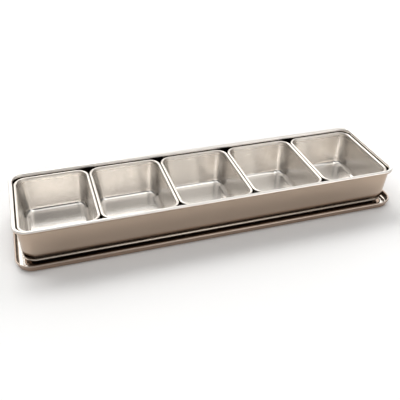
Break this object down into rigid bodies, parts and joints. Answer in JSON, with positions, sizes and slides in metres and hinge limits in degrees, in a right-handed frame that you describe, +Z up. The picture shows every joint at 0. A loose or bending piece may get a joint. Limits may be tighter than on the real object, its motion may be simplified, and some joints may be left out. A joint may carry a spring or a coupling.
{
  "type": "condiment serving pan",
  "caption": "Long stainless steel serving pan that holds a row of small lift-out condiment pans, standing in its upturned lift-off lid.",
  "frame": {"origin": "centre of the footprint, on the plane that the lid lies on", "axes": "+X runs along the row of small pans, +Y runs across it, and +Z is up"},
  "size_m": [0.5178, 0.1472, 0.0581],
  "materials": {
    "lid_steel": "bright satin",
    "outer_steel": "bright satin",
    "small_pan_steel": "satin"
  },
  "bodies": {
    "lid": {"lid": "lid_steel"},
    "outer_pan": {"outer_pan": "outer_steel"},
    "small_pan_1": {"small_pan_1": "small_pan_steel"},
    "small_pan_2": {"small_pan_2": "small_pan_steel"},
    "small_pan_3": {"small_pan_3": "small_pan_steel"},
    "small_pan_4": {"small_pan_4": "small_pan_steel"},
    "small_pan_5": {"small_pan_5": "small_pan_steel"}
  },
  "joints": [
    {"name": "outer_pan_lift", "type": "slide", "parent": "lid", "child": "outer_pan", "axis": [0, 0, 1], "range_m": [0, 0.06]},
    {"name": "small_pan_1_lift", "type": "slide", "parent": "outer_pan", "child": "small_pan_1", "axis": [0, 0, 1], "range_m": [0, 0.06]},
    {"name": "small_pan_2_lift", "type": "slide", "parent": "outer_pan", "child": "small_pan_2", "axis": [0, 0, 1], "range_m": [0, 0.06]},
    {"name": "small_pan_3_lift", "type": "slide", "parent": "outer_pan", "child": "small_pan_3", "axis": [0, 0, 1], "range_m": [0, 0.06]},
    {"name": "small_pan_4_lift", "type": "slide", "parent": "outer_pan", "child": "small_pan_4", "axis": [0, 0, 1], "range_m": [0, 0.06]},
    {"name": "small_pan_5_lift", "type": "slide", "parent": "outer_pan", "child": "small_pan_5", "axis": [0, 0, 1], "range_m": [0, 0.06]}
  ]
}
